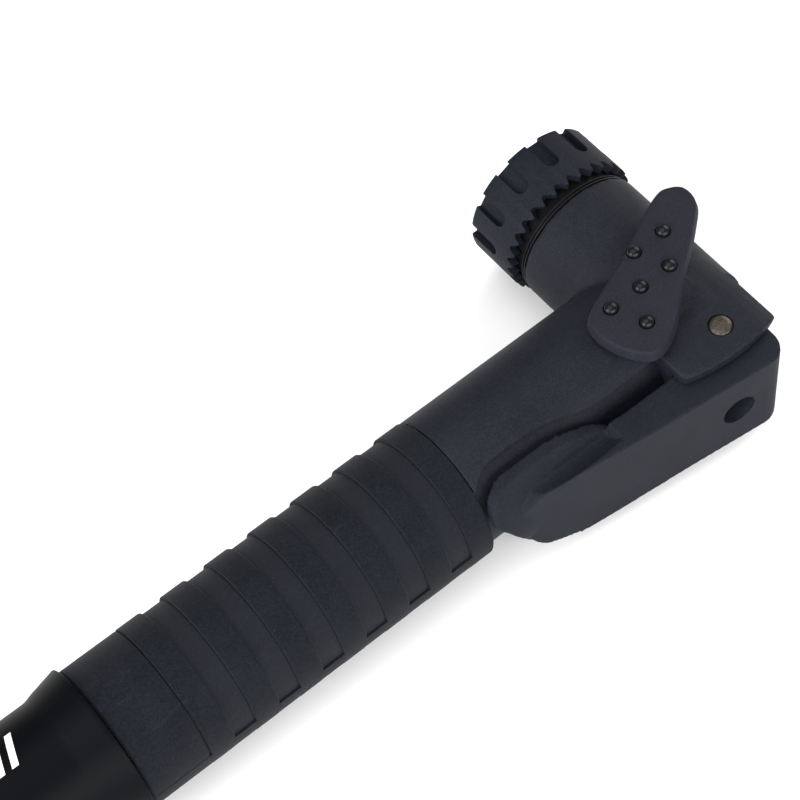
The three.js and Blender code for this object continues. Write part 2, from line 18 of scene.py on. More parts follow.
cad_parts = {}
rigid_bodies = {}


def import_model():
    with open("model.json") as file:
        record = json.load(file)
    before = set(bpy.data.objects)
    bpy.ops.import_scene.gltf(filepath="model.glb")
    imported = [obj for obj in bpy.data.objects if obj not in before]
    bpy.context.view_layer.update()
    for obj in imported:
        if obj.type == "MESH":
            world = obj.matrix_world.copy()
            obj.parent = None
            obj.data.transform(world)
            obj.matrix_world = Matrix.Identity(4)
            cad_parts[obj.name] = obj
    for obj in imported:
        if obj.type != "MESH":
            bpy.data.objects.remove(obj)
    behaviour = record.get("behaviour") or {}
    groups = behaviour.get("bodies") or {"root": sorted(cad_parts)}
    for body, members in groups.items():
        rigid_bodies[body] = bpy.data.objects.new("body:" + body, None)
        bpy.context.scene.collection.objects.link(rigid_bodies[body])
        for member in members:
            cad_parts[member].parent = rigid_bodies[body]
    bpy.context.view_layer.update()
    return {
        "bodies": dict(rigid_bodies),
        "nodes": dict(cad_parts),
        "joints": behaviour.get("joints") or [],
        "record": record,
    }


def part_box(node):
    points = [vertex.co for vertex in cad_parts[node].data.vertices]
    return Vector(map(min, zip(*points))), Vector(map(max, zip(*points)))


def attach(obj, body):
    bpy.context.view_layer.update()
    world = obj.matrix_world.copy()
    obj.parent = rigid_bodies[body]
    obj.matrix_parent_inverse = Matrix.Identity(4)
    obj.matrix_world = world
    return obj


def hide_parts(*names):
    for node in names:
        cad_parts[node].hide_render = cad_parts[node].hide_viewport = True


LOG = logging.getLogger("pump")
MM = 0.001
Point = tuple[float, float]


class Axis(Enum):
    """Which way a turned piece or a bar points."""

    X = (1.0, 0.0, 0.0)
    Y = (0.0, 1.0, 0.0)
    Z = (0.0, 0.0, 1.0)

    @property
    def vector(self) -> Vector:
        """The direction as a vector."""
        return Vector(self.value)

    def point(self, radius: float, station: float) -> Vector:
        """A point beside the axis.

        Args:
            radius: distance from the axis.
            station: distance along it.

        Returns:
            The point, in millimetres.
        """
        if self is Axis.X:
            return Vector((station, 0.0, radius))
        if self is Axis.Y:
            return Vector((radius, station, 0.0))
        return Vector((radius, 0.0, station))


class Join(Enum):
    """How two solids are put together."""

    ADD = "UNION"
    CUT = "DIFFERENCE"
    KEEP = "INTERSECT"


@dataclass(frozen=True)
class Datum:
    """Where the barrel axis meets the outlet axis, in the frame's metres."""

    origin: Vector

    @classmethod
    def from_frame(cls) -> "Datum":
        """Reads the two axes off the collar and the barrel.

        Returns:
            The datum.
        """
        collar = [Vector(c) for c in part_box("valve_collar")]
        barrel = [Vector(c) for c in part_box("barrel_tube")]
        across = (collar[0] + collar[1]) / 2
        along = (barrel[0] + barrel[1]) / 2
        return cls(Vector((across.x, along.y, along.z)))

    def matrix(self) -> Matrix:
        """The step from millimetres about the datum to the frame's metres."""
        return Matrix.Translation(self.origin) @ Matrix.Scale(MM, 4)

    def at(self, x: float, y: float, z: float) -> Vector:
        """A millimetre point in the frame's metres."""
        return self.matrix() @ Vector((x, y, z))


# ---------------------------------------------------------------- shader maths


class Value:
    """A number socket that takes Python's operators."""

    def __init__(self, paint: "Paint", socket: bpy.types.NodeSocket) -> None:
        """Keeps the socket and the material it belongs to."""
        self.paint = paint
        self.socket = socket

    def _math(self, operation: str, *others: "Value | float", clamp: bool = False) -> "Value":
        """Adds one Math node.

        Args:
            operation: the Math node's operation.
            *others: its further operands.
            clamp: whether the result stays between 0 and 1.

        Returns:
            The result.
        """
        values = {i: v for i, v in enumerate((self, *others))}
        node = self.paint.node("ShaderNodeMath", {"operation": operation, "use_clamp": clamp}, values)
        return Value(self.paint, node.outputs[0])

    def __add__(self, other: "Value | float") -> "Value":
        """self + other."""
        return self._math("ADD", other)

    def __mul__(self, other: "Value | float") -> "Value":
        """self * other."""
        return self._math("MULTIPLY", other)

    def __sub__(self, other: "Value | float") -> "Value":
        """self - other."""
        return self._math("SUBTRACT", other)

    def __rsub__(self, other: float) -> "Value":
        """other - self."""
        return (self * -1.0) + other

    def over(self, edge: "Value | float") -> "Value":
        """1 where self is more than edge, and 0 elsewhere."""
        return self._math("GREATER_THAN", edge)

    def under(self, edge: "Value | float") -> "Value":
        """1 where self is less than edge, and 0 elsewhere."""
        return self._math("LESS_THAN", edge)

    def root(self) -> "Value":
        """The square root."""
        return self._math("POWER", 0.5)

    def wrapped(self, pitch: float) -> "Value":
        """The remainder over a pitch, counted from nought."""
        return self._math("WRAP", pitch, 0.0)

    def size(self) -> "Value":
        """The absolute value."""
        return self._math("ABSOLUTE")

    def held(self) -> "Value":
        """self kept between 0 and 1."""
        return self._math("ADD", 0.0, clamp=True)

    def ramp(self, low: float, high: float) -> "Value":
        """Rises smoothly from 0 at low to 1 at high.

        Args:
            low: where it starts to rise.
            high: where it ends.

        Returns:
            The eased value.
        """
        node = self.paint.node(
            "ShaderNodeMapRange",
            {"interpolation_type": "SMOOTHSTEP"},
            {"Value": self, "From Min": low, "From Max": high},
        )
        return Value(self.paint, node.outputs["Result"])


class Paint:
    """One procedural material under construction."""

    def __init__(self, name: str) -> None:
        """Starts an empty material with its shader and output.

        Args:
            name: the material's name.
        """
        self.material = bpy.data.materials.new(name)
        self.material.use_nodes = True
        self.tree = self.material.node_tree
        self.tree.nodes.clear()
        self.shader = self.tree.nodes.new("ShaderNodeBsdfPrincipled")
        output = self.tree.nodes.new("ShaderNodeOutputMaterial")
        self.tree.links.new(self.shader.outputs[0], output.inputs[0])

    def node(self, kind: str, settings: dict | None = None, inputs: dict | None = None) -> bpy.types.Node:
        """Adds any node.

        Args:
            kind: the node's type.
            settings: properties, set before the sockets.
            inputs: socket name or place to a number, colour, Value or socket.

        Returns:
            The node.
        """
        node = self.tree.nodes.new(kind)
        for key, setting in (settings or {}).items():
            setattr(node, key, setting)
        for key, value in (inputs or {}).items():
            self.feed(node.inputs[key], value)
        return node

    def feed(self, socket: bpy.types.NodeSocket, value: object) -> None:
        """Links or sets one socket.

        Args:
            socket: the socket.
            value: a Value, a socket, or what the socket is set to.
        """
        if isinstance(value, Value):
            self.tree.links.new(value.socket, socket)
        elif isinstance(value, bpy.types.NodeSocket):
            self.tree.links.new(value, socket)
        else:
            socket.default_value = value

    def place(self, origin: Vector) -> bpy.types.NodeSocket:
        """Object coordinates in millimetres about a point of the frame.

        Args:
            origin: the point, in metres.

        Returns:
            The vector socket.
        """
        coords = self.node("ShaderNodeTexCoord").outputs["Object"]
        moved = self.node(
            "ShaderNodeMapping",
            {"vector_type": "POINT"},
            {"Vector": coords, "Location": tuple(-origin / MM), "Scale": (1 / MM,) * 3},
        )
        return moved.outputs[0]

    def parts(self, vector: bpy.types.NodeSocket) -> tuple[Value, Value, Value]:
        """The three numbers of a vector."""
        split = self.node("ShaderNodeSeparateXYZ", None, {0: vector})
        return tuple(Value(self, s) for s in split.outputs)

    def noise(self, where: bpy.types.NodeSocket, scale: float,
              detail: float = 2.0, rough: float = 0.5) -> Value:
        """A noise pattern.

        Args:
            where: the coordinates, in millimetres.
            scale: cells per millimetre.
            detail: octaves.
            rough: strength of the finer octaves.

        Returns:
            Its value, about 0.5.
        """
        node = self.node(
            "ShaderNodeTexNoise",
            {"noise_dimensions": "3D"},
            {"Vector": where, "Scale": scale, "Detail": detail, "Roughness": rough},
        )
        return Value(self, node.outputs[0])

    def cells(self, where: bpy.types.NodeSocket, scale: float) -> Value:
        """Distance to the nearest point of a cell pattern.

        Args:
            where: the coordinates, in millimetres.
            scale: cells per millimetre.

        Returns:
            The distance.
        """
        node = self.node("ShaderNodeTexVoronoi", {"feature": "F1"}, {"Vector": where, "Scale": scale})
        return Value(self, node.outputs["Distance"])

    def stretched(self, where: bpy.types.NodeSocket, factors: Sequence[float]) -> bpy.types.NodeSocket:
        """The coordinates with each axis multiplied."""
        node = self.node("ShaderNodeVectorMath", {"operation": "MULTIPLY"}, {0: where, 1: tuple(factors)})
        return node.outputs[0]

    def mixed(self, mask: Value, a: object, b: object) -> bpy.types.NodeSocket:
        """A colour that goes from a to b with the mask."""
        node = self.node("ShaderNodeMix", {"data_type": "RGBA"}, {0: mask, 6: a, 7: b})
        return node.outputs[2]

    def bump(self, height: Value, strength: float, depth: float) -> None:
        """Feeds the shader's normal.

        Args:
            height: the height pattern.
            strength: the bump's strength.
            depth: its height, in metres.
        """
        inputs = {"Strength": strength, "Distance": depth, "Height": height}
        node = self.node("ShaderNodeBump", None, inputs)
        self.feed(self.shader.inputs["Normal"], node.outputs[0])

    def set(self, **sockets: object) -> None:
        """Sets shader sockets, with _ for a space in their names."""
        for name, value in sockets.items():
            self.feed(self.shader.inputs[name.replace("_", " ")], value)


def shade(color: Sequence[float]) -> tuple[float, float, float, float]:
    """A colour with full alpha."""
    return (color[0], color[1], color[2], 1.0)


# ---------------------------------------------------------------- finishes


@dataclass(frozen=True)
class MouldedPlastic:
    """Spark-textured black plastic: fine grain, faint flow marks and rubbed patches."""

    name: str
    color: tuple[float, float, float]
    rubbed: tuple[float, float, float]
    roughness: float = 0.55
    grain: float = 0.75
    grain_depth: float = 0.00006
    specular: float = 0.09

    def make(self, datum: Datum) -> bpy.types.Material:
        """Builds the material.

        Args:
            datum: the frame's datum.

        Returns:
            The material.
        """
        p = Paint(self.name)
        where = p.place(datum.origin)
        cloud = p.noise(where, 0.11, 3.0, 0.55)
        wear = p.noise(where, 0.55, 5.0, 0.65).ramp(0.56, 0.78)
        grain = p.noise(where, 3.3, 4.0, 0.7)
        pits = p.cells(where, 2.2)
        specks = p.cells(where, 0.9).under(0.045)
        tone = cloud * 0.5 + grain.ramp(0.32, 0.70) * 0.55 + wear * 0.3 - 0.15
        base = p.mixed(tone.held(), shade(self.color), shade(self.rubbed))
        p.set(
            Base_Color=p.mixed(specks * 0.12, base, shade((0.10, 0.11, 0.13))),
            Roughness=(grain - 0.5) * 0.16 + wear * 0.07 + self.roughness,
            Specular_IOR_Level=self.specular,
        )
        p.bump(grain * 0.65 + pits * 0.5, self.grain, self.grain_depth)
        return p.material


@dataclass(frozen=True)
class GripRubber:
    """Matte moulded rubber with fine tooth, dusty smudges and painted shade that darkens the groove floors.
    """

    name: str
    color: tuple[float, float, float]
    dusty: tuple[float, float, float]
    band_radius: float

    def make(self, datum: Datum) -> bpy.types.Material:
        """Builds the material.

        Args:
            datum: the frame's datum.

        Returns:
            The material.
        """
        p = Paint(self.name)
        where = p.place(datum.origin)
        _x, y, z = p.parts(where)
        radius = (y * y + z * z).root()
        # painted shade mask: 1 on the groove floors between the bands, easing to 0 on the band tops
        floor = 1.0 - radius.ramp(self.band_radius - 0.42, self.band_radius - 0.12)
        cloud = p.noise(where, 0.16, 4.0, 0.6)
        smudge = p.noise(p.stretched(where, (0.35, 1.0, 1.0)), 0.30, 4.0, 0.7).ramp(0.60, 0.76)
        tooth = p.noise(where, 2.8, 4.0, 0.75)
        lint = p.cells(p.stretched(where, (0.5, 1.0, 1.0)), 0.55).under(0.05)
        tone = cloud * 0.5 + tooth.ramp(0.34, 0.68) * 0.55 + smudge * 0.5 - 0.15
        base = p.mixed(tone.held(), shade(self.color), shade(self.dusty))
        # painted shade: the groove floors are mixed part of the way towards near-black
        dark = p.mixed(floor * 0.35, base, shade((0.012, 0.013, 0.017)))
        p.set(
            Base_Color=p.mixed(lint * 0.12, dark, shade((0.10, 0.11, 0.13))),
            Roughness=(tooth - 0.5) * 0.14 + smudge * 0.05 + 0.74,
            Specular_IOR_Level=0.08,
            Sheen_Weight=0.03,
            Sheen_Roughness=0.5,
        )
        p.bump(tooth, 0.8, 0.00007)
        return p.material


@dataclass(frozen=True)
class PrintedTube:
    """Smooth satin black tube with a few plain slanted bars printed on it."""

    name: str
    color: tuple[float, float, float]
    rubbed: tuple[float, float, float]
    ink: tuple[float, float, float]
    bars_from: float = -136.4
    bar_width: float = 1.25
    bar_pitch: float = 2.6
    bar_count: int = 4
    bar_height: float = 3.1
    bar_centre: float = 2.6
    slant: float = 0.35

    def make(self, datum: Datum) -> bpy.types.Material:
        """Builds the material.

        Args:
            datum: the frame's datum.

        Returns:
            The material.
        """
        p = Paint(self.name)
        where = p.place(datum.origin)
        x, y, z = p.parts(where)
        across = y - self.bar_centre
        along = (x * -1.0) + self.bars_from + across * self.slant
        step = along.wrapped(self.bar_pitch)
        run = along.over(0.0) * along.under(self.bar_pitch * self.bar_count - 0.5)
        bar = step.under(self.bar_width) * run * across.size().under(self.bar_height) * z.over(0.0)
        chips = p.noise(where, 1.7, 4.0, 0.7).under(0.69)
        cloud = p.noise(where, 0.09, 3.0, 0.5)
        scuff = p.noise(p.stretched(where, (0.25, 1.6, 1.6)), 0.9, 5.0, 0.7).ramp(0.6, 0.8)
        fine = p.noise(where, 4.0, 3.0, 0.6)
        base = p.mixed((cloud * 0.6 + scuff * 0.5).held(), shade(self.color), shade(self.rubbed))
        p.set(
            Base_Color=p.mixed(bar * chips, base, shade(self.ink)),
            Roughness=(fine - 0.5) * 0.1 + scuff * 0.1 + bar * 0.05 + 0.44,
            Specular_IOR_Level=0.05,
        )
        p.bump(fine + bar * 2.0, 0.25, 0.00002)
        return p.material


@dataclass(frozen=True)
class Metal:
    """Drawn or upset metal with fine lines along one axis and dull stains."""

    name: str
    color: tuple[float, float, float]
    stain: tuple[float, float, float]
    roughness: float
    grain: tuple[float, float, float] = (0.3, 4.0, 4.0)

    def make(self, datum: Datum) -> bpy.types.Material:
        """Builds the material.

        Args:
            datum: the frame's datum.

        Returns:
            The material.
        """
        p = Paint(self.name)
        where = p.place(datum.origin)
        lines = p.noise(p.stretched(where, self.grain), 2.0, 3.0, 0.6)
        stain = p.noise(where, 1.3, 5.0, 0.7).ramp(0.42, 0.66)
        p.set(
            Base_Color=p.mixed(stain, shade(self.color), shade(self.stain)),
            Roughness=(lines - 0.5) * 0.2 + stain * 0.12 + self.roughness,
            Metallic=(1.0 - stain * 0.25),
        )
        p.bump(lines + stain * 0.6, 0.35, 0.00002)
        return p.material


@dataclass(frozen=True)
class Polished:
    """Glossy moulded plastic or seal rubber with a faint haze."""

    name: str
    color: tuple[float, float, float]
    roughness: float
    coat: float = 0.0
    specular: float = 0.25

    def make(self, datum: Datum) -> bpy.types.Material:
        """Builds the material.

        Args:
            datum: the frame's datum.

        Returns:
            The material.
        """
        p = Paint(self.name)
        where = p.place(datum.origin)
        haze = p.noise(where, 1.1, 4.0, 0.6)
        fine = p.noise(where, 6.0, 2.0, 0.5)
        lifted = tuple(c * 1.7 + 0.004 for c in self.color)
        p.set(
            Base_Color=p.mixed(haze, shade(self.color), shade(lifted)),
            Roughness=(haze - 0.5) * 0.12 + self.roughness,
            Coat_Weight=self.coat,
            Coat_Roughness=0.12,
            Specular_IOR_Level=self.specular,
        )
        p.bump(fine, 0.12, 0.00001)
        return p.material


# ---------------------------------------------------------------- solids


class Solid:
    """A closed shape in millimetres about the datum, made with bmesh operators."""

    def __init__(self) -> None:
        """Starts empty."""
        self.bm = bmesh.new()

    # ---- starting shapes

    def turned(self, axis: Axis, profile: Sequence[Point], steps: int = 96) -> "Solid":
        """Spins a profile of (radius, station) points about an axis.

        Args:
            axis: the axis of the turn.
            profile: the points; it closes on itself unless both ends lie on the axis.
            steps: facets in the turn.

        Returns:
            This solid.
        """
        verts = [self.bm.verts.new(axis.point(r, t)) for r, t in profile]
        edges = [self.bm.edges.new(pair) for pair in zip(verts, verts[1:])]
        if profile[0][0] > 0:
            edges.append(self.bm.edges.new((verts[-1], verts[0])))
        bmesh.ops.spin(
            self.bm, geom=verts + edges, cent=(0, 0, 0), axis=axis.vector, dvec=(0, 0, 0),
            angle=2 * math.pi, steps=steps, use_merge=True, use_duplicate=False,
        )
        return self.mended()

    def raised(self, corners: Sequence[Sequence[float]], way: Sequence[float]) -> list[bmesh.types.BMVert]:
        """Sweeps a flat face in a straight line.

        Args:
            corners: the face's corners.
            way: how far it is swept.

        Returns:
            The corners of the far end.
        """
        face = self.bm.faces.new([self.bm.verts.new(corner) for corner in corners])
        return self.drawn([face], way)

    def drawn(self, faces: list[bmesh.types.BMFace], way: Sequence[float]) -> list[bmesh.types.BMVert]:
        """Extrudes faces and moves their far end.

        Args:
            faces: the faces.
            way: how far the far end goes.

        Returns:
            The far end's corners.
        """
        grown = bmesh.ops.extrude_face_region(self.bm, geom=faces)["geom"]
        far = [g for g in grown if isinstance(g, bmesh.types.BMVert)]
        bmesh.ops.translate(self.bm, verts=far, vec=way)
        return far

    def slab(self, outline: Sequence[Point], low: float, high: float) -> "Solid":
        """Raises an outline in the XY plane.

        Args:
            outline: its (x, y) corners.
            low: the bottom's height.
            high: the top's height.

        Returns:
            This solid.
        """
        self.raised([(x, y, low) for x, y in outline], (0, 0, high - low))
        return self.mended()

    def column(self, plan: Sequence[Point], low: float, high: float) -> "Solid":
        """Raises an (x, z) plan along Y.

        Args:
            plan: its corners.
            low: where it starts along Y.
            high: where it ends.

        Returns:
            This solid.
        """
        self.raised([(x, low, z) for x, z in plan], (0, high - low, 0))
        return self.mended()

    def bar(self, axis: Axis, radius: float, low: float, high: float, steps: int = 64) -> "Solid":
        """A round bar along an axis through the datum."""
        return self.turned(axis, [(0, low), (radius, low), (radius, high), (0, high)], steps)

    def block(self, low: Sequence[float], high: Sequence[float]) -> "Solid":
        """A box between two corners.

        Args:
            low: its lowest corner.
            high: its highest corner.

        Returns:
            This solid.
        """
        size = Vector(high) - Vector(low)
        middle = (Vector(high) + Vector(low)) / 2
        matrix = Matrix.Translation(middle) @ Matrix.Diagonal((*size, 1.0))
        bmesh.ops.create_cube(self.bm, size=1.0, matrix=matrix)
        return self

    # ---- changes

    def mended(self) -> "Solid":
        """Merges doubles and points every face outward.

        Returns:
            This solid.
        """
        bmesh.ops.remove_doubles(self.bm, verts=self.bm.verts[:], dist=1e-4)
        bmesh.ops.dissolve_degenerate(self.bm, edges=self.bm.edges[:], dist=1e-5)
        bmesh.ops.recalc_face_normals(self.bm, faces=self.bm.faces[:])
        return self

    def softened(self, width: float, angle: float = 30.0, segments: int = 3,
                 only: Callable[[bmesh.types.BMEdge], bool] | None = None) -> "Solid":
        """Rounds the edges that turn by more than an angle.

        Args:
            width: the rounding's width.
            angle: the least turn, in degrees.
            segments: steps round each edge.
            only: a further test for an edge.

        Returns:
            This solid.
        """
        limit = math.radians(angle)
        edges = [
            e for e in self.bm.edges
            if len(e.link_faces) == 2 and e.calc_face_angle(0.0) > limit and (only is None or only(e))
        ]
        bmesh.ops.bevel(
            self.bm, geom=edges, offset=width, offset_type="OFFSET", segments=segments, profile=0.5,
            affect="EDGES", clamp_overlap=True, material=-1, loop_slide=True,
        )
        return self

    def moved(self, x: float, y: float, z: float) -> "Solid":
        """Shifts the whole shape."""
        bmesh.ops.translate(self.bm, verts=self.bm.verts[:], vec=(x, y, z))
        return self

    def turned_about(self, axis: Axis, angle: float) -> "Solid":
        """Turns the whole shape about an axis through the datum, in degrees.

        Args:
            axis: the axis.
            angle: the turn, in degrees.

        Returns:
            This solid.
        """
        matrix = Matrix.Rotation(math.radians(angle), 3, axis.vector)
        bmesh.ops.rotate(self.bm, verts=self.bm.verts[:], cent=(0, 0, 0), matrix=matrix)
        return self

    def repeated(self, axis: Axis, count: int) -> "Solid":
        """Copies the whole shape evenly round an axis.

        Args:
            axis: the axis.
            count: how many there are in all.

        Returns:
            This solid.
        """
        bmesh.ops.spin(
            self.bm, geom=self.bm.verts[:] + self.bm.edges[:] + self.bm.faces[:], cent=(0, 0, 0),
            axis=axis.vector, dvec=(0, 0, 0), angle=2 * math.pi * (count - 1) / count,
            steps=count - 1, use_merge=False, use_duplicate=True,
        )
        return self

    def joined(self, other: "Solid", how: Join = Join.ADD) -> "Solid":
        """Adds, cuts or keeps the common part of another solid.

        Args:
            other: the other solid, used up.
            how: the way they are put together.

        Returns:
            This solid.
        """
        base, tool = self._on_bench(), other._on_bench()
        change = base.modifiers.new("join", "BOOLEAN")
        change.operation = how.value
        change.solver = "EXACT"
        change.object = tool
        return self._off_bench(base, tool)

    def cut(self, *others: "Solid") -> "Solid":
        """Cuts several solids away, one after the other.

        Args:
            *others: the solids, used up.

        Returns:
            This solid.
        """
        for other in others:
            self.joined(other, Join.CUT)
        return self

    def melted(self, voxel: float, passes: int) -> "Solid":
        """Rebuilds the skin evenly and eases it, so that joined shapes flow together.

        Args:
            voxel: the skin's cell size.
            passes: how often it is eased.

        Returns:
            This solid.
        """
        base = self._on_bench()
        remesh = base.modifiers.new("skin", "REMESH")
        remesh.mode = "VOXEL"
        remesh.voxel_size = voxel
        ease = base.modifiers.new("ease", "SMOOTH")
        ease.factor = 0.5
        ease.iterations = passes
        return self._off_bench(base)

    def _on_bench(self) -> bpy.types.Object:
        """Makes a working object of the shape, which modifiers can change; uses the solid up.

        Returns:
            The object.
        """
        obj = bpy.data.objects.new("work", self.as_mesh("work"))
        bpy.context.scene.collection.objects.link(obj)
        return obj

    def _off_bench(self, base: bpy.types.Object, *tools: bpy.types.Object) -> "Solid":
        """Takes a working object's finished mesh back and clears the bench.

        Args:
            base: the working object.
            *tools: what else is cleared.

        Returns:
            This solid.
        """
        graph = bpy.context.evaluated_depsgraph_get()
        done = bpy.data.meshes.new_from_object(base.evaluated_get(graph))
        self.bm = bmesh.new()
        self.bm.from_mesh(done)
        for obj in (base, *tools):
            mesh = obj.data
            bpy.data.objects.remove(obj)
            bpy.data.meshes.remove(mesh)
        bpy.data.meshes.remove(done)
        return self

    def as_mesh(self, name: str) -> bpy.types.Mesh:
        """The shape as a mesh, still in millimetres; uses the solid up.

        Args:
            name: the mesh's name.

        Returns:
            The mesh.
        """
        mesh = bpy.data.meshes.new(name)
        self.bm.to_mesh(mesh)
        self.bm.free()
        return mesh


@dataclass
class Workshop:
    """Sets finished solids into the frame, rides them on bodies and dresses them."""

    datum: Datum
    bodies: dict[str, str]
    paints: dict[str, bpy.types.Material] = field(default_factory=dict)

    def stock(self, *finishes: object) -> None:
        """Builds each finish once."""
        for finish in finishes:
            self.paints[finish.name] = finish.make(self.datum)

    def fit(self, name: str, solid: Solid, paint: str, node: str, crisp: float = 40.0,
            edge: float = 0.0) -> bpy.types.Object:
        """Turns a solid into a finished piece that stands for a frame node.

        Args:
            name: the piece's name.
            solid: its shape, used up.
            paint: the finish's name.
            node: the frame node that it stands for.
            crisp: edges that turn by more than this stay sharp, in degrees.
            edge: width of a last rounding of sharp edges, in millimetres, or 0 for none.

        Returns:
            The piece.
        """
        mesh = solid.as_mesh(name)
        mesh.transform(self.datum.matrix())
        mesh.materials.append(self.paints[paint])
        piece = bpy.data.objects.new(name, mesh)
        bpy.context.scene.collection.objects.link(piece)
        for polygon in mesh.polygons:
            polygon.use_smooth = True
        mesh.set_sharp_from_angle(angle=math.radians(crisp))
        if edge > 0:
            rounding = piece.modifiers.new("edge", "BEVEL")
            rounding.width = edge * MM
            rounding.segments = 2
            rounding.limit_method = "ANGLE"
            rounding.angle_limit = math.radians(crisp)
            rounding.harden_normals = True
        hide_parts(node)
        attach(piece, self.bodies[node])
        LOG.info("%s: %d faces", name, len(mesh.polygons))
        return piece

    def dress(self, frame: dict, finish_of: dict[str, str]) -> None:
        """Gives each remaining frame node its finish.

        Args:
            finish_of: node name to finish name.
        """
        for node, paint in finish_of.items():
            obj = frame["nodes"][node]
            obj.data.materials.clear()
            obj.data.materials.append(self.paints[paint])
            LOG.info("%s: dressed in %s", node, paint)


def mirrored(half: Sequence[Point]) -> list[Point]:
    """An outline from its upper half, whose ends lie on the centre line."""
    return list(half) + [(x, -w) for x, w in reversed(half) if w > 0]


def arc(cx: float, cy: float, radius: float, start: float, end: float, steps: int) -> list[Point]:
    """Points along an arc, in degrees.

    Args:
        cx: the centre's first coordinate.
        cy: its second.
        radius: the arc's radius.
        start: where it starts, in degrees.
        end: where it ends, in degrees.
        steps: how many steps it takes.

    Returns:
        The points.
    """
    return [
        (cx + radius * math.cos(math.radians(a)), cy + radius * math.sin(math.radians(a)))
        for a in (start + (end - start) * i / steps for i in range(steps + 1))
    ]


def curve_through(points: Sequence[Point], fine: int = 8) -> list[Point]:
    """A closed smooth curve through points.

    Args:
        points: the points, in order.
        fine: steps between neighbours.

    Returns:
        The curve's points.
    """
    n = len(points)
    out = []
    for i in range(n):
        p0, p1, p2, p3 = (Vector(points[(i + k) % n]) for k in (-1, 0, 1, 2))
        for s in range(fine):
            t = s / fine
            out.append(tuple(
                0.5 * ((2 * p1) + (p2 - p0) * t + (2 * p0 - 5 * p1 + 4 * p2 - p3) * t * t
                       + (3 * p1 - p0 - 3 * p2 + p3) * t * t * t)
            ))
    return out


# ---------------------------------------------------------------- sub-assemblies


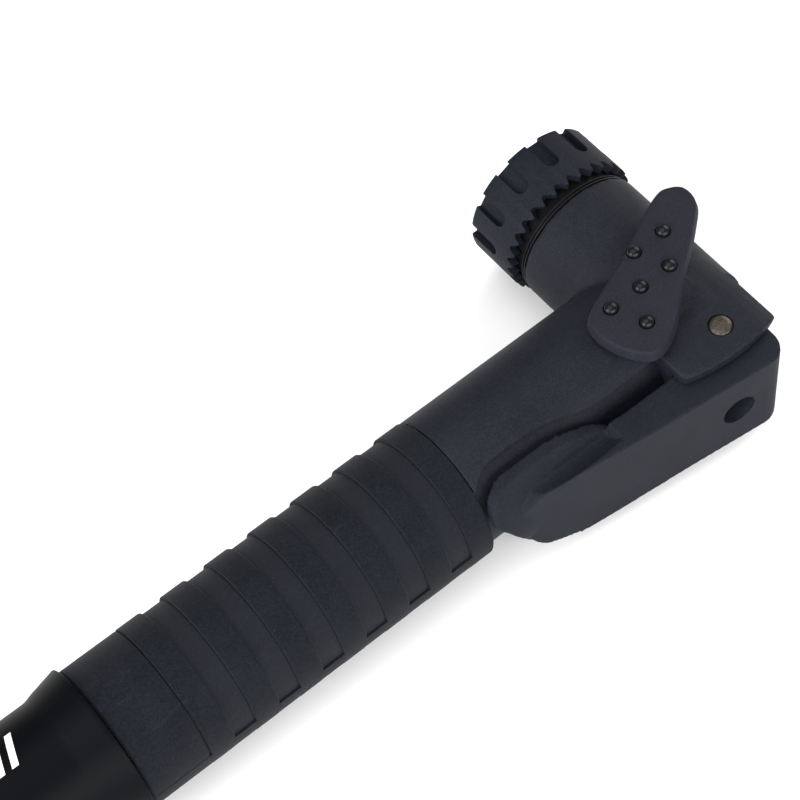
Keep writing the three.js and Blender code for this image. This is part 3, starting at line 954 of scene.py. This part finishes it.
@dataclass
class HeadShell:
    """The moulded head: neck, outlet stub, cheeks for the lever and the selector's seat."""

    stub_radius: float = 12.9
    neck_radius: float = 13.3
    neck_end: float = -51.78
    nest_floor: float = 12.2
    stub_front: float = 24.4
    nose_radius: float = 10.2
    nose_front: float = 33.5
    cheek: float = 12.4
    slot_half: float = 10.3
    pin_y: float = -12.4
    tab_x: float = -4.5
    barrel_bore: float = 11.0
    chamber_bore: float = 8.9
    stem_bore: float = 3.3
    seal_bore: float = 4.7
    air_bore: float = 1.8
    spindle_bore: float = 2.9
    pin_bore: float = 2.24

    def cheek_block(self) -> Solid:
        """The block that carries the lever pin: its nose squares off below the stub's round.

        Returns:
            The block.
        """
        back = [(-11.9, 0), (-11.9, 11.9), (-11.4, self.cheek)]
        upper = back + [(3.55, self.cheek)] + arc(0, 0, self.stub_radius, 71, 0, 10)
        lower = back + [
            (4.2, self.cheek), (5.8, 12.15), (7.4, 11.5), (8.9, 10.5), (10.2, 9.1), (11.3, 7.3),
            (12.0, 5.5), (12.5, 3.7), (12.8, 2.0), (self.stub_radius, 1.0), (self.stub_radius, 0.5),
            (self.stub_radius, 0)]
        while len(upper) < len(lower):
            upper.insert(-1, tuple((a + b) / 2 for a, b in zip(upper[-2], upper[-1])))
        rings = []
        block = Solid()
        for station, outline in ((-15.0, mirrored(lower)), (-7.5, mirrored(lower)), (4.5, mirrored(upper))):
            loop = [block.bm.verts.new((x, station, z)) for x, z in outline]
            rings.append([block.bm.edges.new((a, b)) for a, b in zip(loop, loop[1:] + loop[:1])])
        bmesh.ops.bridge_loops(block.bm, edges=rings[0] + rings[1])
        bmesh.ops.bridge_loops(block.bm, edges=rings[1] + rings[2])
        for ring in (rings[0], rings[2]):
            bmesh.ops.holes_fill(block.bm, edges=ring, sides=0)
        foot = [f for f in block.bm.faces if all(v.co.y < -14.9 for v in f.verts)]
        block.drawn(foot, (0, -4, 0))
        bmesh.ops.delete(block.bm, geom=foot, context="FACES_ONLY")
        block.mended()
        side = [(-11.9, 1), (-11.9, -15.7), (-11.4, -16.25), (-10.5, -16.7), (-8, -17.35), (-5, -17.85),
                (-2, -18.08), (1, -18.08), (4, -17.8), (6.5, -17.3), (8.6, -16.6), (10.2, -15.6),
                (11.3, -14.5), (12.2, -13.0), (12.8, -11.2), (13.1, -9.2), (13.1, 1)]
        return block.joined(Solid().slab(side, -14, 14), Join.KEEP)

    def nest(self) -> Solid:
        """The shallow recess in the neck's underside in which the folded lever lies.

        Returns:
            The shape to cut.
        """
        rim = [(-11.5, 9.9), (-23.5, 9.8), (-27.0, 10.0), (-29.9, 10.5), (-32.2, 11.0), (-35.0, 11.35),
               (-38.4, 11.55), (-42.7, 11.65), (-46.0, 11.6), (-48.4, 11.4), (-50.2, 10.8), (-51.7, 9.8),
               (-53.0, 8.4), (-54.0, 6.6)]
        plan = rim + [(x, -z) for x, z in reversed(rim)]
        floor = self.nest_floor
        sector = Solid().turned(Axis.X, [(floor, -55), (15, -55), (15, -11.5), (floor, -11.5)], 200)
        return sector.joined(Solid().column(plan, -17, -2), Join.KEEP)

    def build(self, shop: Workshop) -> None:
        """Makes the shell and sets it in place.

        Args:
            shop: the workshop that sets the pieces in place.
        """
        skin = Solid().bar(Axis.X, self.neck_radius + 0.02, self.neck_end, 2, 200)
        skin.joined(Solid().bar(Axis.Y, self.stub_radius + 0.1, -9, self.stub_front, 200))
        skin.joined(self.cheek_block())
        seat = Solid().turned(Axis.Z, [(0, 8), (6.2, 8), (6.0, 12.6), (5.6, 13.9), (0, 13.9)], 96)
        skin.joined(seat.moved(self.tab_x, 0, 0))
        skin.melted(0.40, 3)
        skin.joined(Solid().turned(Axis.Y, [
            (0, self.stub_front - 6), (self.nose_radius, self.stub_front - 6),
            (self.nose_radius, self.nose_front - 0.5), (self.nose_radius - 0.5, self.nose_front),
            (0, self.nose_front)], 128))
        skin.cut(
            self.nest(),
            Solid().bar(Axis.X, self.barrel_bore, self.neck_end - 1, -14, 96),
            Solid().bar(Axis.X, 7.3, -15, -11, 64),
            Solid().bar(Axis.Y, self.chamber_bore, 4.2, self.nose_front + 1, 96),
            Solid().bar(Axis.Y, self.stem_bore, -6, 5.2, 48),
            Solid().bar(Axis.Y, self.seal_bore, 0.2, 2.6, 48),
            Solid().block((-9.3, -20, -self.slot_half), (14, -4.0, self.slot_half)),
            Solid().block((-13, -20, -self.slot_half), (0, -13.3, self.slot_half)),
            Solid().bar(Axis.X, self.air_bore, -11.4, -4, 32).moved(0, 5.8, 0),
            Solid().bar(Axis.Z, self.spindle_bore, 5.6, 20, 48).moved(self.tab_x, 0, 0),
            Solid().bar(Axis.Z, self.pin_bore, -20, 20, 64).moved(0, self.pin_y, 0),
        )
        shop.fit("head_casing", skin, "shell_plastic", "head_shell", 38, 0.22)


@dataclass
class ScrewCollar:
    """The collar that holds the tyre valve: finger recesses and a saw-toothed rear edge."""

    radius: float = 13.98
    rear: float = 26.6
    front: float = 38.2
    bore: float = 4.6
    teeth: int = 30
    recesses: int = 12
    recess_half: float = 1.5
    recess_end: float = 32.7

    def ring(self) -> Solid:
        """The plain ring with rounded rims.

        Returns:
            The ring.
        """
        profile = [(12.4, self.rear), (self.radius - 0.12, self.rear), (self.radius, self.rear + 0.3),
                   (self.radius, self.front - 0.45), (self.radius - 0.12, self.front - 0.12),
                   (self.radius - 0.4, self.front), (12.0, self.front - 0.02), (11.4, self.front - 0.5),
                   (7.4, self.front - 0.5), (6.8, self.front - 0.02), (self.bore + 1.0, self.front - 0.05),
                   (self.bore + 0.25, self.front - 0.5), (self.bore, self.front - 1.1), (self.bore, 35.2),
                   (10.5, 35.2), (10.5, 29.2), (12.4, 29.2)]
        return Solid().turned(Axis.Y, profile, 240)

    def recess_cutters(self) -> Solid:
        """Round-ended recesses that run out through the front rim.

        Returns:
            The shapes to cut.
        """
        half, rim = self.recess_half, self.front + 1
        outline = arc(0, self.recess_end, half, 180, 360, 14) + [(half, rim), (-half, rim)]
        cutter = Solid().slab(outline, self.radius - 1.35, self.radius + 3)
        return cutter.turned_about(Axis.Y, 3).repeated(Axis.Y, self.recesses)

    def tooth_cutters(self) -> Solid:
        """Saw notches in the rear edge.

        Returns:
            The shapes to cut.
        """
        pitch = 2 * math.pi * self.radius / self.teeth
        outline = [(-0.40 * pitch, self.rear - 0.5), (0.60 * pitch, self.rear - 0.5),
                   (0.52 * pitch, self.rear), (0.10 * pitch, self.rear + 1.42),
                   (0.0, self.rear + 1.5), (-0.14 * pitch, self.rear + 1.36), (-0.30 * pitch, self.rear)]
        return Solid().slab(outline, 11.3, 16).turned_about(Axis.Y, 2.4).repeated(Axis.Y, self.teeth)

    def build(self, shop: Workshop) -> None:
        """Makes the collar and sets it in place.

        Args:
            shop: the workshop that sets the pieces in place.
        """
        body = self.ring().cut(self.recess_cutters(), self.tooth_cutters())
        shop.fit("collar_ring", body, "collar_plastic", "valve_collar", 32, 0.16)


@dataclass
class DetentRing:
    """The dark polished ring behind the collar, with two fine steps."""

    def build(self, shop: Workshop) -> None:
        """Makes the ring and sets it in place.

        Args:
            shop: the workshop that sets the pieces in place.
        """
        profile = [(10.5, 24.7), (12.7, 24.7), (12.7, 25.05), (12.3, 25.1), (12.3, 25.32), (12.62, 25.38),
                   (12.62, 25.7), (12.2, 25.76), (12.2, 25.98), (12.1, 26.04), (12.1, 28.9), (10.5, 28.9)]
        body = Solid().turned(Axis.Y, profile, 200).softened(0.05, 30, 2)
        shop.fit("click_ring", body, "detent_gloss", "detent_ring", 50)


@dataclass
class LockLever:
    """The lever that squeezes the valve grommet: cam, tapered back and winged thumb paddle."""

    pin_y: float = -12.4
    half: float = 9.7
    back: float = -9.75
    slope: float = 0.125
    tip: float = -52.0
    cam_base: float = 5.6
    cam_rate: float = 1.4
    wing_inner: float = 14.3
    wing_outer: float = 15.9
    hole_x: float = -3.7
    pin_bore: float = 2.4

    def side(self) -> list[Point]:
        """The lever seen along its pin.

        Returns:
            Its (x, y) outline.
        """
        cam = []
        for i in range(25):
            t = i * math.pi / 48
            h = self.cam_base + self.cam_rate * t
            cos, sin = math.cos(t), math.sin(t)
            cam.append((self.cam_rate * cos + h * sin, -self.cam_rate * sin + h * cos))
        end = [(7.3, -2.6), (7.2, -4.2), (7.05, -6.4), (6.8, -7.3), (6.35, -8.15), (5.7, -8.95),
               (4.8, -9.65), (3.7, -10.04), (2.4, self.back - self.slope * 2.4)]
        tip = [(-36, self.back + self.slope * 36), (-38, -4.86), (-40, -4.45), (-41.5, -4.08), (-43, -3.76),
               (-44.5, -3.4), (-46, -3.0), (-48.5, -2.1), (self.tip + 1, -1.2)]
        top = [
            (-30, -0.7), (-13.2, -0.96), (-8.9, -0.96), (-7.6, -0.1), (-6.6, 0.9), (-5.4, 2.3),
            (-4.1, 3.8), (-2.9, 4.7), (-1.2, 5.4), (0.2, 5.58)]
        return [(x, y + self.pin_y) for x, y in cam + end + tip + top]

    def paddle(self) -> Solid:
        """The thin wings that follow the neck's round, with a slanted toe.

        Returns:
            The wings.
        """
        plan = [
            (-24.5, 0), (-24.5, 6.0), (-25.9, 7.9), (-27.8, 9.0), (-29.9, 9.7), (-32.2, 10.3),
            (-35, 10.7), (-38.4, 10.9), (-42.7, 11.0), (-46, 10.95), (-48.2, 10.7), (-49.8, 10.1),
            (-51.0, 9.2), (-51.7, 8.1), (-52.0, 6.9), (-51.8, 5.5), (-51.1, 4.3), (-50.2, 3.2),
            (-49.3, 1.7), (-48.3, 0), (-47.2, -2), (-46.1, -4), (-45.4, -6), (-44.9, -7.6),
            (-44.6, -9.0), (-44.1, -10.0), (-43.2, -10.8), (-41.6, -11.2), (-38.4, -11.2),
            (-35, -10.9), (-32.2, -10.4), (-29.9, -9.8), (-27.8, -9.0), (-25.9, -7.9), (-24.5, -6.0)]
        inner, outer = self.wing_inner, self.wing_outer
        sector = Solid().turned(Axis.X, [(inner, -53), (outer, -53), (outer, -22), (inner, -22)], 220)
        return sector.joined(Solid().column(plan, -17, -6), Join.KEEP)

    def scoop(self, side: float) -> Solid:
        """The undercut below one long edge of the back.

        Args:
            side: 1 for the +Z edge and -1 for the other.

        Returns:
            The shape to cut.
        """
        wall = [(-17.7, 14.0), (-17.6, 10.3), (-17.3, 9.75), (-16.4, 8.95), (-15.2, 8.3), (-14.2, 8.05),
                (-10.0, 8.0), (-10.0, 14.0)]
        solid = Solid()
        for vert in solid.raised([(-50.5, y, z * side) for y, z in wall], (24.0, 0, 0)):
            vert.co.x += 0.7 * (abs(vert.co.z) - 9.0)
        return solid.mended()

    def build(self, shop: Workshop) -> None:
        """Makes the lever and sets it in place.

        Args:
            shop: the workshop that sets the pieces in place.
        """
        plan = [
            (8.2, 0), (8.2, 7.4), (8.0, 8.3), (7.4, 9.0), (6.5, 9.45), (5.2, self.half),
            (-6, self.half), (-20, 9.5), (-28, 9.7), (-34, 10.0), (-38, 10.0), (-39.6, 9.8),
            (-41, 9.4), (-42.3, 8.9), (-43.5, 8.2), (-44.8, 7.3), (-45.8, 6.4), (-46.7, 5.4),
            (-47.4, 4.4), (-47.9, 3.3), (-48.1, 2.2), (-47.9, 1.0), (-47.5, 0), (-46.6, -2),
            (-45.9, -3.5), (-45.2, -5), (-44.5, -6.4), (-43.6, -7.6), (-42.6, -8.5), (-41.5, -9.2),
            (-40.3, -9.7), (-39, -10.1), (-36, -10.5), (-32, -10.6), (-20, -10.3), (-13, -10.0),
            (3.6, -10.0), (5.2, -9.75), (6.4, -9.2), (7.2, -8.4), (7.8, -7.4), (8.2, -6.0)]
        body = Solid().slab(self.side(), -12, 12)
        body.joined(Solid().column(plan, -40, 0), Join.KEEP)
        body.cut(self.scoop(1.0), self.scoop(-1.0), Solid().bar(Axis.X, self.wing_inner, -60, -9.6, 220))
        body.joined(self.paddle())
        body.melted(0.2, 12)
        hole = [(0, -26), (3.3, -26), (3.3, -21.6), (2.95, -20.9), (2.95, -16.4), (0, -16.4)]
        body.cut(
            Solid().turned(Axis.Y, hole, 64).moved(self.hole_x, 0, 0),
            Solid().bar(Axis.Z, self.pin_bore, -20, 20, 48).moved(0, self.pin_y, 0),
        )
        shop.fit("thumb_lever", body, "lever_plastic", "lock_lever", 40)


@dataclass
class LeverPin:
    """The rivet through the cheeks and the lever."""

    radius: float = 2.1
    reach: float = 12.5
    pin_y: float = -12.4

    def build(self, shop: Workshop) -> None:
        """Makes the rivet and sets it in place.

        Args:
            shop: the workshop that sets the pieces in place.
        """
        z, r = self.reach, self.radius
        half = [
            (r, z - 0.45), (r - 0.06, z - 0.1), (r - 0.3, z + 0.1), (1.2, z + 0.22), (0.5, z + 0.12),
            (0, z + 0.08)]
        profile = [(q, -t) for q, t in reversed(half)] + half
        body = Solid().turned(Axis.Z, profile, 72).moved(0, self.pin_y, 0)
        shop.fit("pivot_rivet", body, "rivet_steel", "lever_pin", 50)


@dataclass
class SelectorTab:
    """The slanted tab on top of the head, with its six glossy studs and its spindle."""

    low: float = 14.4
    high: float = 16.4
    axis_x: float = -4.5
    draft: float = 0.5
    studs: tuple[Point, ...] = (
        (3.9, 6.6), (-2.8, 6.6), (-0.1, 0.5), (-6.7, 0.5), (-13.4, 0.5), (-10.7, -5.6))

    def outline(self) -> list[Point]:
        """The tab's plan.

        Returns:
            Its (x, y) outline.
        """
        return curve_through([
            (10.2, 13.2), (12.8, 11.4), (12.5, 7.8), (9, 4.4), (5, 1.2), (2, -1), (-3.2, -5.4), (-7, -8.4),
            (-10.4, -10.4), (-13.4, -10.9), (-15.6, -9.4), (-17.5, -6), (-18.3, -2), (-17.4, 1.3),
            (-13.4, 3.7), (-7.3, 6), (-0.7, 9.1), (4.5, 11.7), (7.8, 13)], 6)

    def build(self, shop: Workshop) -> None:
        """Makes the tab, studs and spindle and sets them in place.

        Args:
            shop: the workshop that sets the pieces in place.
        """
        top = self.high
        plate = Solid().slab(self.outline(), self.low, top)
        foot = [v for v in plate.bm.verts if v.co.z < self.low + 0.01]
        outward = {
            v: sum((f.normal for f in v.link_faces if abs(f.normal.z) < 0.5), Vector()) for v in foot}
        for vert, way in outward.items():
            vert.co += Vector((way.x, way.y, 0)).normalized() * self.draft
        plate.mended()
        plate.softened(0.45, 40, 4, lambda e: all(v.co.z > top - 0.01 for v in e.verts))
        for x, y in self.studs:
            plate.cut(Solid().bar(Axis.Z, 1.42, top - 0.9, top + 1, 48).moved(x, y, 0))
        shop.fit("selector_plate", plate, "tab_plastic", "selector_tab", 40, 0.06)
        for i, (x, y) in enumerate(self.studs):
            dome = [(0, top - 0.6), (1.2, top - 0.6)] + [
                (1.28 * math.cos(a), top + 0.02 + 0.98 * math.sin(a)) for a in
                (j * math.pi / 16 for j in range(8))] + [(0, top + 1.0)]
            stud = Solid().turned(Axis.Z, dome, 48).moved(x, y, 0)
            shop.fit(f"gloss_stud_{i + 1}", stud, "stud_gloss", f"tab_stud_{i + 1}", 60)
        stem = [(0, 6.0), (2.4, 6.0), (2.5, 6.2), (2.5, 8.3), (1.7, 8.3), (1.7, 9.7), (2.5, 9.7),
                (2.5, 13.9), (2.3, 14.1), (0, 14.1)]
        spindle = Solid().turned(Axis.Z, stem, 64)
        spindle.moved(self.axis_x, 0, 0)
        shop.fit("tab_spindle", spindle, "bright_steel", "selector_spindle")


@dataclass
class GripSleeve:
    """The rubber grip: seven raised bands, a plain tail and a smooth strip along one side."""

    radius: float = 13.5
    head: float = -51.85
    tail: float = -122.9
    pitch: float = 9.12
    band: float = 4.75
    count: int = 7
    groove: float = 0.5
    inner: float = 11.0

    def profile(self) -> list[Point]:
        """The banded wall from tail to head.

        Returns:
            Its (radius, station) points.
        """
        r, low = self.radius, self.radius - self.groove
        last = self.head - self.pitch * (self.count - 1) - self.band
        points = [
            (self.inner, self.tail), (r - 0.35, self.tail), (r - 0.1, self.tail + 0.25),
            (r - 0.1, last - 0.42), (r - 0.22, last - 0.34), (low - 0.1, last - 0.28),
            (low - 0.1, last - 0.04), (low, last)]
        for i in reversed(range(self.count)):
            edge = self.head - i * self.pitch
            points += [(r - 0.12, edge - self.band), (r, edge - self.band + 0.12), (r, edge - 0.25),
                       (r - 0.1, edge - 0.08)]
            if i:
                points += [
                    (low + 0.06, edge + 0.16), (low, edge + 0.34),
                    (low, edge + self.pitch - self.band - 0.3),
                    (low - 0.14, edge + self.pitch - self.band - 0.22),
                    (low - 0.14, edge + self.pitch - self.band)]
        return points + [(r - 0.3, self.head), (self.inner, self.head)]

    def build(self, shop: Workshop) -> None:
        """Makes the sleeve and sets it in place.

        Args:
            shop: the workshop that sets the pieces in place.
        """
        sleeve = Solid().turned(Axis.X, self.profile(), 220)
        low, high = self.tail + 0.5, self.head - 0.5
        wall = [(12.3, low), (self.radius - 0.04, low), (self.radius - 0.04, high), (12.3, high)]
        strip = Solid().turned(Axis.X, wall, 220)
        strip.joined(Solid().block((self.tail, -20, -6.87), (self.head, -9, -0.17)), Join.KEEP)
        sleeve.joined(strip)
        shop.fit("banded_grip", sleeve, "grip_rubber", "grip_sleeve", 30)


@dataclass
class PullHandle:
    """The sliding handle: flared mouth, smooth tube, end cap and screw."""

    radius: float = 12.7
    bore: float = 11.1
    mouth: float = -123.2
    tail: float = -253.0
    lip: float = 14.3

    def build(self, shop: Workshop) -> None:
        """Makes the handle's pieces and sets them in place.

        Args:
            shop: the workshop that sets the pieces in place.
        """
        r, m = self.radius, self.mouth
        wall = [
            (self.bore, self.tail), (r - 0.25, self.tail), (r, self.tail + 0.25), (r, m - 7.6),
            (r + 0.04, m - 6.9), (r + 0.22, m - 6.2), (r + 0.5, m - 5.3), (self.lip - 0.16, m - 0.95),
            (self.lip, m - 0.45), (self.lip - 0.08, m - 0.15), (self.lip - 0.35, m),
            (self.bore + 0.4, m), (self.bore, m - 0.4)]
        shop.fit("pull_tube", Solid().turned(Axis.X, wall, 200), "tube_satin", "handle_tube", 34)
        cap = [
            (2.2, -257.0), (4.3, -257.0), (4.3, -258.2), (4.6, -258.5), (6.6, -258.5), (6.9, -258.2),
            (8.9, -258.2), (9.2, -258.5), (10.9, -258.5), (11.8, -258.2), (12.35, -257.6),
            (12.65, -256.8), (r, -256.2), (r, -253.6), (r - 0.25, -253.3), (10.8, -253.3),
            (10.8, -249), (3.8, -249), (3.8, -252.3), (2.2, -252.3)]
        ridges = Solid().block((-256.3, -0.45, r - 0.35), (-253.9, 0.45, r + 1)).repeated(Axis.X, 40)
        end = Solid().turned(Axis.X, cap, 200).cut(ridges)
        shop.fit("tail_cap", end, "cap_plastic", "handle_end_cap", 34, 0.08)
        shank = [(0, -258.2), (2.2, -258.3), (3.1, -258.2), (3.55, -257.8), (3.6, -257.3),
                 (1.85, -257.3), (1.85, -245), (0, -245)]
        screw = Solid().turned(Axis.X, shank, 64)
        drive = Solid().bar(Axis.X, 1.45, -260, -257.4, 6)
        shop.fit("cap_screw", screw.cut(drive), "bright_steel", "end_cap_screw", 34, 0.06)


@dataclass
class Running:
    """What slides or sits inside: barrel, bush, rod, piston and grommet."""

    barrel_radius: float = 10.7
    bore: float = 9.6
    rod: float = 3.5

    def build(self, shop: Workshop) -> None:
        """Makes each inner piece that shows when the pump is open.

        Args:
            shop: the workshop that sets the pieces in place.
        """
        r, b = self.barrel_radius, self.bore
        tube = [(b, -245.5), (r - 0.3, -245.5), (r, -245.2), (r, -16.1), (r - 0.3, -15.8), (b, -15.8)]
        barrel = Solid().turned(Axis.X, tube, 160)
        shop.fit("alloy_barrel", barrel, "drawn_alloy", "barrel_tube", 34)
        bush = [(3.8, -247.0), (4.1, -247.2), (10.2, -247.2), (10.6, -246.8), (10.6, -245.8), (9.3, -245.8),
                (9.3, -236.3), (9.0, -236), (4.1, -236), (3.8, -236.3)]
        shop.fit("rod_bush", Solid().turned(Axis.X, bush, 128), "nylon_plain", "barrel_bush", 34)
        rod = [
            (0, -252), (self.rod, -252), (self.rod, -31.1), (self.rod - 0.3, -30.8), (2.2, -30.8),
            (2.2, -18.0), (2.0, -17.8), (0, -17.8)]
        rod_body = Solid().turned(Axis.X, rod, 96).cut(Solid().bar(Axis.X, 2.15, -253, -243, 48))
        shop.fit("steel_rod", rod_body, "bright_steel", "piston_rod", 34)
        head = [
            (2.5, -30.5), (8.9, -30.5), (9.3, -30.1), (9.3, -27.2), (7.6, -27.2), (7.6, -23.3),
            (9.3, -23.3), (9.3, -20.4), (8.9, -20.0), (2.5, -20.0)]
        shop.fit("piston_head", Solid().turned(Axis.X, head, 128), "nylon_plain", "piston", 34)
        lip = [(3.9, 25.0), (4.15, 24.65), (4.5, 24.5), (8.3, 24.5), (8.6, 24.8), (8.6, 34.6), (8.3, 34.9),
               (5.0, 34.9), (4.4, 34.75), (4.0, 34.3), (3.9, 33.9), (3.9, 30.6), (4.15, 30.2), (3.9, 29.8),
               (3.9, 27.9), (4.15, 27.5), (3.9, 27.1)]
        shop.fit("valve_seal", Solid().turned(Axis.Y, lip, 128), "seal_rubber", "valve_grommet", 50)


# ---------------------------------------------------------------- studio


@dataclass(frozen=True)
class Lamp:
    """A soft box: where it hangs in millimetres, its width and height in metres, its power in watts."""

    name: str
    place: tuple[float, float, float]
    size: tuple[float, float]
    power: float
    aim: tuple[float, float, float] = (-40, 0, 0)


@dataclass
class Studio:
    """Plain floor, soft lights and the camera; places are in millimetres about the datum."""

    eye: tuple[float, float, float] = (-167.3, -175.2, 367.9)
    aim: tuple[float, float, float] = (-45.05, 20.8, -3.9)
    roll: float = -8.1
    lens: float = 111.5
    floor_half: float = 2.5
    floor_tone: float = 0.79
    surround: float = 0.30
    lamps: tuple[Lamp, ...] = (
        Lamp("top_box", (-150, 120, 900), (0.9, 0.9), 5.6),
        Lamp("front_box", (-150, -630, 320), (0.9, 0.5), 9.4),
        Lamp("left_box", (-640, 40, 330), (0.5, 0.5), 7.0),
        Lamp("right_box", (560, 160, 330), (0.5, 0.5), 2.8),
    )

    def camera(self, datum: Datum) -> None:
        """Sets the camera at its viewing angle.

        Args:
            datum: the frame's datum.
        """
        data = bpy.data.cameras.new("camera")
        data.lens = self.lens
        data.sensor_width = 36.0
        data.clip_start = 0.01
        data.clip_end = 20.0
        obj = bpy.data.objects.new("camera", data)
        eye, aim = datum.at(*self.eye), datum.at(*self.aim)
        look = (aim - eye).to_track_quat("-Z", "Y").to_matrix().to_4x4()
        obj.matrix_world = Matrix.Translation(eye) @ look @ Matrix.Rotation(math.radians(self.roll), 4, "Z")
        bpy.context.scene.collection.objects.link(obj)
        bpy.context.scene.camera = obj

    def light(self, datum: Datum, lamp: Lamp) -> None:
        """Hangs one soft box.

        Args:
            datum: the frame's datum.
            lamp: the soft box.
        """
        data = bpy.data.lights.new(lamp.name, "AREA")
        data.shape = "RECTANGLE"
        data.size, data.size_y = lamp.size
        data.energy = lamp.power
        obj = bpy.data.objects.new(lamp.name, data)
        here, there = datum.at(*lamp.place), datum.at(*lamp.aim)
        turn = (there - here).to_track_quat("-Z", "Y").to_matrix().to_4x4()
        obj.matrix_world = Matrix.Translation(here) @ turn
        bpy.context.scene.collection.objects.link(obj)

    def floor(self, datum: Datum) -> None:
        """Lays the pale floor.

        Args:
            datum: the frame's datum.
        """
        bm = bmesh.new()
        bmesh.ops.create_grid(bm, x_segments=8, y_segments=8, size=self.floor_half)
        mesh = bpy.data.meshes.new("floor")
        bm.to_mesh(mesh)
        bm.free()
        p = Paint("floor_white")
        p.set(Base_Color=shade((self.floor_tone,) * 3), Roughness=0.9, Specular_IOR_Level=0.1)
        mesh.materials.append(p.material)
        obj = bpy.data.objects.new("floor", mesh)
        bpy.context.scene.collection.objects.link(obj)

    def world(self) -> None:
        """An even white surround."""
        world = bpy.data.worlds.new("surround")
        world.use_nodes = True
        background = world.node_tree.nodes["Background"]
        background.inputs[0].default_value = (1.0, 1.0, 1.0, 1.0)
        background.inputs[1].default_value = self.surround
        bpy.context.scene.world = world

    def build(self, datum: Datum) -> None:
        """Sets up the whole studio.

        Args:
            datum: the frame's datum.
        """
        self.camera(datum)
        self.floor(datum)
        self.world()
        for lamp in self.lamps:
            self.light(datum, lamp)
        bpy.context.scene.view_settings.view_transform = "Standard"


def finishes() -> list[object]:
    """Every finish of the pump.

    Returns:
        The finishes, in the order in which they are made.
    """
    return [
        MouldedPlastic("shell_plastic", (0.0040, 0.0046, 0.0070), (0.0155, 0.0175, 0.0245), 0.55),
        MouldedPlastic("collar_plastic", (0.0030, 0.0038, 0.0065), (0.0145, 0.0165, 0.0235), 0.6),
        MouldedPlastic("tab_plastic", (0.0065, 0.0069, 0.0105), (0.0180, 0.0190, 0.0275), 0.6),
        MouldedPlastic("lever_plastic", (0.0036, 0.0046, 0.0076), (0.0130, 0.0150, 0.0212), 0.62),
        MouldedPlastic("cap_plastic", (0.0022, 0.0026, 0.0038), (0.005, 0.006, 0.008), 0.5),
        MouldedPlastic("nylon_plain", (0.020, 0.020, 0.022), (0.03, 0.03, 0.033), 0.5),
        GripRubber("grip_rubber", (0.0008, 0.0014, 0.0030), (0.0095, 0.0115, 0.0160), 13.5),
        PrintedTube("tube_satin", (0.0008, 0.0010, 0.0016), (0.0016, 0.0020, 0.0030), (0.66, 0.64, 0.60)),
        Metal("rivet_steel", (0.080, 0.066, 0.057), (0.026, 0.021, 0.018), 0.42, (1.0, 1.0, 1.0)),
        Metal("bright_steel", (0.52, 0.53, 0.55), (0.40, 0.40, 0.41), 0.24),
        Metal("drawn_alloy", (0.62, 0.63, 0.65), (0.52, 0.52, 0.54), 0.32),
        Polished("detent_gloss", (0.0010, 0.0010, 0.0015), 0.48, 0.0, 0.1),
        Polished("stud_gloss", (0.0016, 0.0018, 0.0028), 0.24, 0.05, 0.14),
        Polished("seal_rubber", (0.0060, 0.0060, 0.0065), 0.5),
    ]


def main() -> None:
    """Builds the pump's looks and the studio around it."""
    logging.basicConfig(level=logging.INFO, format="%(name)s: %(message)s")
    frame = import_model()
    datum = Datum.from_frame()
    Studio().build(datum)
    groups = frame["record"]["behaviour"]["bodies"]
    shop = Workshop(datum, {node: body for body, nodes in groups.items() for node in nodes})
    shop.stock(*finishes())
    for assembly in (HeadShell(), ScrewCollar(), DetentRing(), LockLever(), LeverPin(), SelectorTab(),
                     GripSleeve(), PullHandle(), Running()):
        assembly.build(shop)
    shop.dress(frame, {
        "plunger": "nylon_plain", "plunger_head_seal": "seal_rubber", "plunger_stem_seal": "seal_rubber",
        "spindle_seal": "seal_rubber", "barrel_gasket": "seal_rubber", "check_valve_seat": "nylon_plain",
        "check_valve_disc": "seal_rubber", "piston_seal": "seal_rubber", "piston_nut": "bright_steel",
    })


if __name__ == "__main__":
    main()
